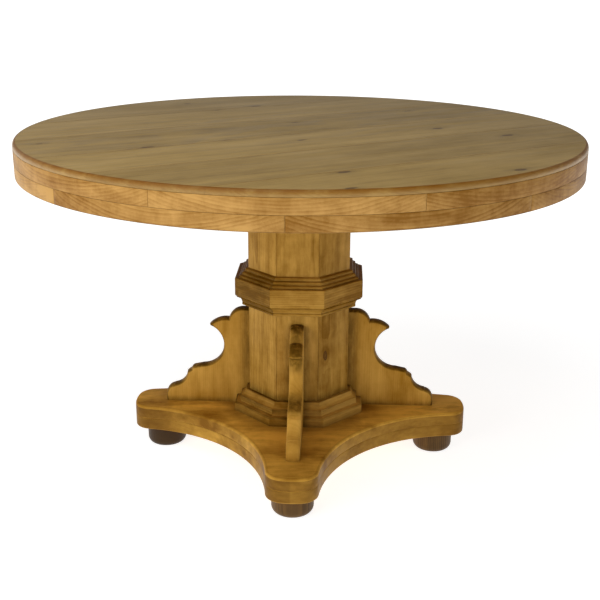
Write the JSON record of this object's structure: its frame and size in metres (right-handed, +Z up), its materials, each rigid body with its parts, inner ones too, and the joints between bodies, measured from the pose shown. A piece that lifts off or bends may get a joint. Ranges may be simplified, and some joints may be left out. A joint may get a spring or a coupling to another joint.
{
  "type": "round pedestal table",
  "caption": "Round dining table in honey-stained pine: plank top on a built-up mitred rim, octagonal stave column with moulded collar, scroll brackets, lobed base and turned feet",
  "frame": {"origin": "on the floor under the middle of the table, the bottom centre of the bounding box", "axes": "+Z up along the column's axis; the four lobes, brackets and feet lie along +X, +Y, -X and -Y"},
  "size_m": [1.2192, 1.2192, 0.752],
  "materials": {
    "pine_top": "satin lacquer, greyed honey pine with sheen",
    "pine_rim": "satin lacquer, light honey pine",
    "pine_column": "satin lacquer, honey pine",
    "pine_bracket": "satin lacquer, honey pine with dark rubbed edges",
    "pine_base": "satin lacquer, darker amber pine",
    "dark_foot": "dark brown stain, satin",
    "zinc_steel": "zinc-plated hardware"
  },
  "bodies": {
    "root": {"base_moulding_1": "pine_column", "base_moulding_2": "pine_column", "base_moulding_3": "pine_column", "base_moulding_4": "pine_column", "base_plate_lower": "pine_base", "base_plate_upper": "pine_base", "bracket_back": "pine_bracket", "bracket_front": "pine_bracket", "bracket_left": "pine_bracket", "bracket_right": "pine_bracket", "collar_piece_1": "pine_column", "collar_piece_2": "pine_column", "collar_piece_3": "pine_column", "collar_piece_4": "pine_column", "collar_piece_5": "pine_column", "collar_piece_6": "pine_column", "collar_piece_7": "pine_column", "collar_piece_8": "pine_column", "column_stave_1": "pine_column", "column_stave_2": "pine_column", "column_stave_3": "pine_column", "column_stave_4": "pine_column", "column_stave_5": "pine_column", "column_stave_6": "pine_column", "column_stave_7": "pine_column", "column_stave_8": "pine_column", "foot_back": "dark_foot", "foot_front": "dark_foot", "foot_left": "dark_foot", "foot_right": "dark_foot", "mounting_plate": "pine_rim", "rim_lower_1": "pine_rim", "rim_lower_2": "pine_rim", "rim_lower_3": "pine_rim", "rim_lower_4": "pine_rim", "rim_lower_5": "pine_rim", "rim_lower_6": "pine_rim", "rim_lower_7": "pine_rim", "rim_lower_8": "pine_rim", "rim_upper_1": "pine_rim", "rim_upper_2": "pine_rim", "rim_upper_3": "pine_rim", "rim_upper_4": "pine_rim", "rim_upper_5": "pine_rim", "rim_upper_6": "pine_rim", "rim_upper_7": "pine_rim", "rim_upper_8": "pine_rim", "tie_rod": "zinc_steel", "tie_rod_nut_bottom": "zinc_steel", "tie_rod_nut_top": "zinc_steel", "tie_rod_washer_bottom": "zinc_steel", "tie_rod_washer_top": "zinc_steel", "top_batten_1": "pine_rim", "top_batten_2": "pine_rim", "top_plank_1": "pine_top", "top_plank_2": "pine_top", "top_plank_3": "pine_top", "top_plank_4": "pine_top", "top_plank_5": "pine_top", "top_plank_6": "pine_top"}
  },
  "joints": []
}
